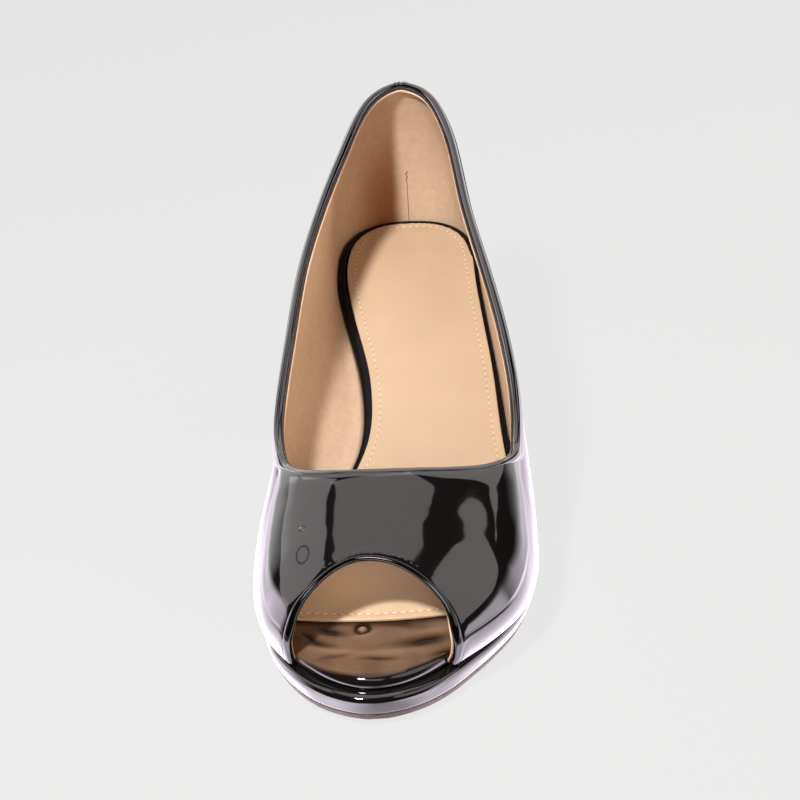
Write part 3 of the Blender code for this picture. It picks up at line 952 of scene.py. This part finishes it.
backSeam = sweep("liningBackSeam", backSeamPath(), lambda i: seamLook["line"], closed=False)
finishPiece(backSeam, leather["seamShade"], "upper")
tackMarks = []
for k, (dx, z) in enumerate(seamLook["tacks"]):
    lean = Vector((seamLook["tackLean"] * (1 if k % 2 else -1), 0, 1)).normalized()
    tackMarks.append(heelMark(seamLook["x"] + dx, z, lean))
stitchRow("liningBackTack", tackMarks, seamLook["tackSize"], leather["seamShade"], "upper")
heldPoints = [onSurface(liningTree, Vector(point) * mm, Vector((1, 0, 0))) for point in seamLook["stiffener"]]
heldMarks = walk(framesAlong(heldPoints, Vector((0, 1, 0))), seamLook["stitchPitch"] * mm, closed=False)
stitchRow("stiffenerStitches", heldMarks, seamLook["stitchSize"], leather["liningCutEdge"], "upper")


# the padded sock

sockLook = {
    "bevel": 0.45, "levels": 2, "borderPitch": 0.5, "groove": 0.32, "grooveWidth": 0.8, "pad": 0.35,
    "padRun": (3.0, 10.0), "aside": 0.9, "asideRun": (-20.0, 40.0), "back": 0.7, "backRun": (70.0, 105.0),
    "trough": -1.0, "troughAt": 19.0, "troughWidth": 4.2, "troughRun": (3.5, 9.0), "topFacing": 0.5
}
sock = copyOfNode("sock", "sockPad")
sockTop = copyOfNode("sock", "sockTopGuide")   # only its border is used
keepWall(sockTop, max(sockTop.data.polygons, key=lambda f: f.normal.z).index)
sockBorder = evenFrames(edgePaths(sockTop)[0], closed=True, rounds=1)
bpy.data.objects.remove(sockTop)
toQuads(sock)
bevelSharp(sock, sockLook["bevel"] * mm)
subdivided(sock, sockLook["levels"])
border = walk(sockBorder, sockLook["borderPitch"] * mm, closed=True)
borderTree = nearTree(border)


def sockShift(co):
    # at the heel the sock lies a little to the outer side and back
    aside = sockLook["aside"] * smoothStep(*sockLook["asideRun"], co.y / mm)
    return Vector((aside, sockLook["back"] * smoothStep(*sockLook["backRun"], co.y / mm), 0)) * mm


def padLift(co, normal):
    if normal.z < sockLook["topFacing"]:
        return Vector()
    distance = borderTree.find(co)[2] / mm
    lift = sockLook["pad"] * smoothStep(*sockLook["padRun"], distance)
    trough = sockLook["trough"] * bell(co.x / mm - sockLook["troughAt"], sockLook["troughWidth"])
    lift += trough * smoothStep(*sockLook["troughRun"], distance)
    lift -= sockLook["groove"] * bell(distance - stitchLook["sockInset"], sockLook["grooveWidth"])
    return Vector((0, 0, lift * mm))


lifted(sock, padLift)
lifted(sock, lambda co, normal: sockShift(co))
finishPiece(sock, leather["tanSock"], "sock", "sock")
sockTree = surfaceOf(sock)


def sockStitchPath():
    frames = []
    for edge, out, along, beyond in border:
        place = edge - beyond * stitchLook["sockInset"] * mm
        if borderTree.find(place)[2] > (stitchLook["sockInset"] - stitchLook["insetSlack"]) * mm:
            frames.append((onSurface(sockTree, place + sockShift(place), out)[0], out, along, beyond))
    return evenFrames(frames, closed=True)


sockRow, sockPitch = sockStitchPath(), stitchLook["sockPitch"] * mm
sockMarks = walk(sockRow, sockPitch, closed=True)
holeMarks = walk(sockRow, sockPitch, closed=True, start=sockPitch / 2)
stitchRow("sockStitches", sockMarks, stitchLook["sockSize"], leather["creamThread"], "sock")
# the holes are small dark marks of painted shade between the stitches
stitchRow("sockStitchHoles", holeMarks, stitchLook["holeSize"], leather["seamShade"], "sock")


# the wrapped insole, with its wrinkled front in the peep toe

insoleLook = {
    "columns": 44, "rungSpan": 12.0, "levels": 2, "edgeShade": 0.7, "edgeWidth": 1.5, "rise": 1.8,
    "riseRun": (60.0, 95.0), "riseFrom": (0.5, 1.8), "riseFacing": 0.2, "wrinkleAhead": -70.0, "wrinkleFacing": 0.3,
    "wrinkles": [((-10.3, -89.2), (1.1, 0.9), 0, 0.75), ((-9.5, -92.2), (4.0, 1.0), 20, 0.2),
        ((-19.5, -90.5), (4.5, 1.6), -15, -0.4), ((-23.4, -95.8), (6.0, 1.6), -25, -0.35),
        ((-18.0, -99.5), (7.0, 1.5), -12, 0.25), ((8.9, -95.8), (8.0, 2.2), 14, -0.4),
        ((12.0, -91.0), (6.0, 1.8), 10, 0.22), ((-4.7, -103.6), (5.5, 0.9), -4, -0.3),
        ((-17.0, -102.0), (5.0, 1.0), 12, -0.2), ((0.0, -100.5), (9.0, 2.0), 6, 0.2),
        ((3.0, -88.0), (6.0, 1.5), -8, -0.2), ((-27.0, -92.0), (3.0, 1.2), -40, -0.3),
        ((15.0, -101.5), (5.0, 1.3), 25, -0.3)],
    "rings": [((-10.3, -89.2), 2.0, 0.8, -0.42)]
}

insole = copyOfNode("insole", "insoleWrap")
toQuads(insole)


def selectRungs(piece, spanLimit):
    # the long edges that cross the board from side to side
    piece.data.update()
    for edge in piece.data.edges:
        a, b = (piece.data.vertices[v].co for v in edge.vertices)
        edge.select = abs(a.x - b.x) > spanLimit and abs(a.y - b.y) < abs(a.x - b.x)


editing(insole, "EDGE")
doneEditing()
selectRungs(insole, insoleLook["rungSpan"] * mm)
editing(insole, "EDGE")
bpy.ops.mesh.subdivide(number_cuts=insoleLook["columns"])
doneEditing()
subdivided(insole, insoleLook["levels"])


def wrinkleAt(co, normal):
    lift = 0.0
    if normal.z > insoleLook["wrinkleFacing"] and co.y < insoleLook["wrinkleAhead"] * mm:
        for (x, y), (long, short), angle, depth in insoleLook["wrinkles"]:
            dx, dy = co.x / mm - x, co.y / mm - y
            c, s = math.cos(math.radians(angle)), math.sin(math.radians(angle))
            lift += depth * bell((dx * c + dy * s) / long, 1) * bell((dy * c - dx * s) / short, 1)
        for (x, y), radius, width, depth in insoleLook["rings"]:
            lift += depth * bell(math.hypot(co.x / mm - x, co.y / mm - y) - radius, width)
    return lift


def bowlLift(co, normal):
    # behind the sock's heel the wrapped border of the insole rises a little against the lining
    place, index, away = borderTree.find(co)
    edge, out, along, beyond = border[index]
    if normal.z <= insoleLook["riseFacing"] or (co - edge).to_2d().dot(beyond.to_2d()) <= 0:
        return Vector()
    share = smoothStep(*insoleLook["riseRun"], co.y / mm) * smoothStep(*insoleLook["riseFrom"], away / mm)
    return Vector((0, 0, insoleLook["rise"] * share * mm))


def creaseShadeAt(vert):
    # painted shade: lighter on raised wrinkles, darker in dents, and a painted shadow line beside the front edge of
    # the sock
    shade = bell(borderTree.find(vert.co)[2] / mm, insoleLook["edgeWidth"])
    return wrinkleAt(vert.co, vert.normal) - insoleLook["edgeShade"] * shade


lifted(insole, bowlLift)
creaseShades = [creaseShadeAt(vert) for vert in insole.data.vertices]
insole.data.attributes.new("creaseShade", "FLOAT", "POINT").data.foreach_set("value", creaseShades)
lifted(insole, lambda co, normal: Vector((0, 0, wrinkleAt(co, normal) * mm)))
finishPiece(insole, insolePatent, "insole", "insole")


# the wedge and the outsole

soleLook = {"wedgeBevel": 0.5, "outsoleBevel": 0.45, "levels": 2}


def solePiece(nodeName, pieceName, bevel, material):
    piece = copyOfNode(nodeName, pieceName)
    toQuads(piece)
    bevelSharp(piece, bevel * mm)
    subdivided(piece, soleLook["levels"])
    return finishPiece(piece, material, nodeName, nodeName)


solePiece("wedge", "wedgeCover", soleLook["wedgeBevel"], wedgePatent)
solePiece("outsole", "outsolePlate", soleLook["outsoleBevel"], leather["outsoleRubber"])


# stage: pale floor, world and soft boxes, places in metres

stageLook = {
    "seen": (0.80, 0.80, 0.80), "glowTint": (0.98, 0.88, 1.0), "backTint": (1.0, 0.98, 0.98), "sideGlow": 4.8,
    "backGlow": 2.6, "farGlow": 6.0, "skyFill": 0.04, "fillTint": (1.0, 0.62, 0.38), "target": (0.0, -0.04, 0.035)
}
floorLook = {
    "size": 8.0, "sink": -0.0001, "grey": 0.04, "roughness": 0.9, "seenStrength": 0.97,
    "glow": [(-0.16, 6.0), (-0.10, 6.0), (-0.06, 4.0), (-0.03, 2.6), (0.02, 1.5), (0.07, 0.7), (0.12, 0.08),
        (0.80, 0.06), (1.60, 0.7)],
    "fan": 0.05, "close": (0.06, 0.08), "front": (-0.20, -0.14), "frontLeast": 0.08,
    "sideways": (0.12, 0.35, 1.0, 0.9),
    "beside": {"wide": (0.18, 0.34), "slope": 0.3, "level": (-0.05, 0.05), "front": (-0.5, -0.2),
        "inner": (-0.2, 0.2, 0.4, 1.0)},
    "ahead": {"near": (-0.122, -0.112), "far": (-0.45, -0.15), "wide": (0.06, 0.09), "glow": 3.0,
        "dim": (0.004, 0.026, 0.58, 0.0)}
}
bpy.ops.object.select_all(action="DESELECT")
bpy.ops.mesh.primitive_plane_add(size=floorLook["size"], location=(0, 0, floorLook["sink"]))
floor = bpy.context.active_object
floor.name = "studioFloor"


def floorGlow(tree):
    # the glow that gloss sees is strong round the toe and weak behind the heel
    x, y, z = placeAxes(tree)
    wide = math2("ABSOLUTE", x, 0.0)
    fan = math2("MAXIMUM", math2("SUBTRACT", wide, floorLook["fan"]), 0.0)
    behind = math2("SUBTRACT", y, fan)
    stops = floorLook["glow"]
    strength = stops[0][1]
    for (low, before), (high, after) in zip(stops, stops[1:]):
        strength = math2("ADD", stepped(behind, low, high, 0.0, after - before), strength)
    start, most = floorLook["close"]
    close = math2("MAXIMUM", math2("SUBTRACT", wide, start), 0.0)
    close = math2("MINIMUM", close, most)
    limit = stepped(math2("SUBTRACT", y, close), *floorLook["front"])
    limit = math2("MAXIMUM", limit, floorLook["frontLeast"])
    strength = product(strength, limit, stepped(wide, *floorLook["sideways"]))
    # pale ground further out at both sides
    look = floorLook["beside"]
    level = math2("SUBTRACT", y, product(wide, look["slope"]))
    beside = product(stepped(wide, *look["wide"]), falling(level, *look["level"]),
                     stepped(x, *look["inner"]), stepped(y, *look["front"]), stageLook["farGlow"])
    strength = math2("ADD", strength, beside)
    # a patch ahead of the toe, dimmer in its middle
    look = floorLook["ahead"]
    ahead = product(falling(y, *look["near"]), stepped(y, *look["far"]), falling(wide, *look["wide"]))
    strength = math2("ADD", strength, product(ahead, look["glow"]))
    dim = product(ahead, stepped(wide, *look["dim"]))
    return product(strength, math2("SUBTRACT", 1.0, dim))


def floorMaterial():
    material, tree, shader = newMaterial("paleFloor", Base_Color=(*[floorLook["grey"]] * 3, 1),
                                         Roughness=floorLook["roughness"], Specular_IOR_Level=0.0,
                                         Emission_Color=(*stageLook["seen"], 1),
                                         Emission_Strength=floorLook["seenStrength"])
    glow = node(tree, "ShaderNodeEmission", {"Color": (*stageLook["glowTint"], 1)})
    feed(floorGlow(tree), glow.inputs["Strength"])
    gloss = node(tree, "ShaderNodeLightPath").outputs["Is Glossy Ray"]
    both = mixed(gloss, shader.outputs["BSDF"], glow.outputs["Emission"])
    feed(both, tree.nodes["Material Output"].inputs["Surface"])
    return material


floor.data.materials.append(floorMaterial())

# directions in the sky, as parts of a unit arrow
skyLook = {
    "least": 0.2, "slope": 0.87, "inner": (-0.1, 0.1), "innerScale": 1.7, "innerShift": 0.42, "top": (0.48, 0.68),
    "run": (-0.25, 0.3), "low": (0.04, 0.18), "lowEnd": (0.78, 0.93),
    "right": {"slope": 0.55, "from": (0.5, 0.7), "top": (0.40, 0.50), "front": (-0.65, -0.40),
        "back": (-0.15, 0.05)},
    "left": {"from": (-0.9, -0.75), "back": (0.25, 0.5), "more": 0.7},
    "wall": {"from": (0.36, 0.55), "foot": (0.02, 0.1), "top": (0.52, 0.60)}
}


def glossySky(tree):
    # pale low walls at both sides and a grey wall behind, seen by gloss only
    x, back, up = placeAxes(tree, "Generated")
    slant = math2("MAXIMUM", back, skyLook["least"])
    slant = math2("ADD", product(slant, skyLook["slope"]), up)
    slant = product(slant, stepped(x, *skyLook["inner"], skyLook["innerScale"], 1.0))   # sharper inside
    slant = math2("SUBTRACT", slant, stepped(x, *skyLook["inner"], skyLook["innerShift"], 0.0))
    run = stepped(back, *skyLook["run"])
    side = product(falling(slant, *skyLook["top"]), run)
    low = product(falling(up, *skyLook["low"]), falling(back, *skyLook["lowEnd"]), run)
    side = math2("MAXIMUM", side, low)
    look = skyLook["right"]
    tall = math2("ADD", up, product(math2("ABSOLUTE", back, 0.0), look["slope"]))
    right = product(stepped(x, *look["from"]), falling(tall, *look["top"]),
                    stepped(back, *look["front"], 0.0, stageLook["farGlow"] / stageLook["sideGlow"]),
                    falling(back, *look["back"]))
    side = math2("MAXIMUM", side, right)
    look = skyLook["left"]
    left = product(stepped(x, *look["from"], look["more"], 0.0), falling(back, *look["back"]))
    side = product(side, math2("ADD", left, 1.0))
    look = skyLook["wall"]
    wall = product(stepped(back, *look["from"]), stepped(up, *look["foot"]), falling(up, *look["top"]))
    both = tree.nodes.new("ShaderNodeAddShader")
    for k, (share, tint, glow) in enumerate(((side, "glowTint", "sideGlow"), (wall, "backTint", "backGlow"))):
        light = node(tree, "ShaderNodeBackground", {"Color": (*stageLook[tint], 1)})
        feed(product(share, stageLook[glow]), light.inputs["Strength"])
        feed(light.outputs["Background"], both.inputs[k])
    return both.outputs["Shader"]


def studioWorld():
    scene.world = bpy.data.worlds.new("studioWorld")
    scene.world.use_nodes = True
    tree = scene.world.node_tree
    tree.nodes.clear()
    path = node(tree, "ShaderNodeLightPath").outputs
    fill = node(tree, "ShaderNodeBackground", {"Color": (*stageLook["fillTint"], 1), "Strength": stageLook["skyFill"]})
    seen = node(tree, "ShaderNodeBackground", {"Color": (*stageLook["seen"], 1), "Strength": 1.0})
    light = mixed(path["Is Glossy Ray"], fill.outputs["Background"], glossySky(tree))
    shown = mixed(path["Is Camera Ray"], light, seen.outputs["Background"])
    feed(shown, node(tree, "ShaderNodeOutputWorld").inputs["Surface"])


studioWorld()

# bearing from the toe's side (positive to the outer side), height angle, distance, width, height, brightness,
# tint, and what shows the light
boxes = {
    "keyLamp": (-39.8, 61.8, 0.558, 0.06, 0.06, 405.0, (1.0, 0.97, 0.93), "all"),
    "topBox": (204, 75.3, 0.85, 0.467, 0.46, 1.75, (1.0, 0.93, 0.92), "gloss"),
    "leftBox": (-112, 42.5, 0.9, 0.56, 0.565, 2.3, (1.0, 0.93, 0.93), "gloss"),
    "backBox": (168, 50, 0.9, 1.7, 0.40, 2.0, (1.0, 0.93, 0.92), "gloss"),
    "rimLamp": (-11, 54, 1.2, 0.12, 0.22, 40.0, (1.0, 0.97, 0.95), "gloss"),
    "sideFill": (118, 36, 0.9, 0.5, 0.35, 6.8, (1.0, 0.79, 0.57), "matt"),
    "frontFill": (28, 22, 1.2, 0.8, 0.5, 3.6, (1.0, 0.85, 0.7), "matt"),
    "lipBox": (-13, 59, 0.9, 0.5, 0.3, 2.3, (1.0, 0.9, 0.86), "gloss"),
    "rightDisk": (68, 50, 0.9, 0.765, 0.765, 1.55, (1.0, 0.93, 0.92), "gloss"),
}


def addBox(name, bearing, rise, far, width, height, bright, tint, shows):
    bearing, rise = math.radians(bearing), math.radians(rise)
    aim = Vector((math.sin(bearing) * math.cos(rise), -math.cos(bearing) * math.cos(rise), math.sin(rise)))
    bpy.ops.object.light_add(type="AREA", location=Vector(stageLook["target"]) + aim * far)
    lamp = bpy.context.active_object
    lamp.name = name
    lamp.rotation_euler = aim.to_track_quat("Z", "Y").to_euler()
    lamp.data.shape = "ELLIPSE" if name.endswith("Disk") else "RECTANGLE"
    lamp.data.size, lamp.data.size_y = width, height
    lamp.data.energy = bright * math.pi * width * height
    lamp.data.color = tint
    lamp.visible_camera = False
    lamp.visible_diffuse = shows != "gloss"
    lamp.visible_glossy = shows != "matt"
    return lamp


def linkLamp(lamp, name, pieces, state="INCLUDE"):
    lit = bpy.data.collections.new(name)
    for piece in pieces:
        lit.objects.link(piece)
    for entry in lit.collection_objects:
        entry.light_linking.link_state = state
    lamp.light_linking.receiver_collection = lit


lamps = {name: addBox(name, *look) for name, look in boxes.items()}
linkLamp(lamps["rimLamp"], "rimShown", [peepRoll])   # only the peep binding catches the rim lamp
linkLamp(lamps["lipBox"], "lipShown", [insole])   # only the insole catches the lip box
linkLamp(lamps["keyLamp"], "keyHidden", [collar, peepRoll], "EXCLUDE")   # no hot spot on the rolled edges
peepFillLook = {
    "place": (-0.006, -0.142, 0.066), "tilt": 56, "size": 0.05, "spread": 80, "bright": 0.7, "tint": (1.0, 0.86, 0.68)
}
bpy.ops.object.light_add(type="AREA", location=peepFillLook["place"],
                         rotation=(math.radians(peepFillLook["tilt"]), 0, 0))
peepFill = bpy.context.active_object
peepFill.name = "peepFill"
peepFill.data.size = peepFillLook["size"]
peepFill.data.spread = math.radians(peepFillLook["spread"])
peepFill.data.energy = peepFillLook["bright"] * math.pi * peepFillLook["size"] ** 2
peepFill.data.color = peepFillLook["tint"]
peepFill.visible_camera = peepFill.visible_glossy = False

# the photograph's camera, solved from the outlines of sole, sock, peep toe and collar
cameraLook = {
    "place": (0.02653, -0.44182, 0.30716), "yaw": -0.058, "pitch": 0.543, "roll": -0.068, "lens": 66.63,
    "sensor": 36.0
}


def addCamera():
    yaw, pitch, roll = cameraLook["yaw"], cameraLook["pitch"], cameraLook["roll"]
    ahead = Vector((math.sin(yaw) * math.cos(pitch), math.cos(yaw) * math.cos(pitch), -math.sin(pitch)))
    right = Vector((math.cos(yaw), -math.sin(yaw), 0))
    up = right.cross(ahead)
    turned = math.cos(roll) * right + math.sin(roll) * up
    upright = -math.sin(roll) * right + math.cos(roll) * up
    bpy.ops.object.camera_add()
    camera = bpy.context.active_object
    camera.name = "photoCamera"
    camera.matrix_world = Matrix((turned, upright, -ahead)).transposed().to_4x4()
    camera.location = cameraLook["place"]
    camera.data.lens, camera.data.sensor_width = cameraLook["lens"], cameraLook["sensor"]
    camera.data.clip_start, camera.data.clip_end = 0.01, 50
    scene.camera = camera


addCamera()
scene.view_settings.view_transform = "Standard"
scene.view_settings.look = "None"
print("stage ready:", len(boxes), "boxes")
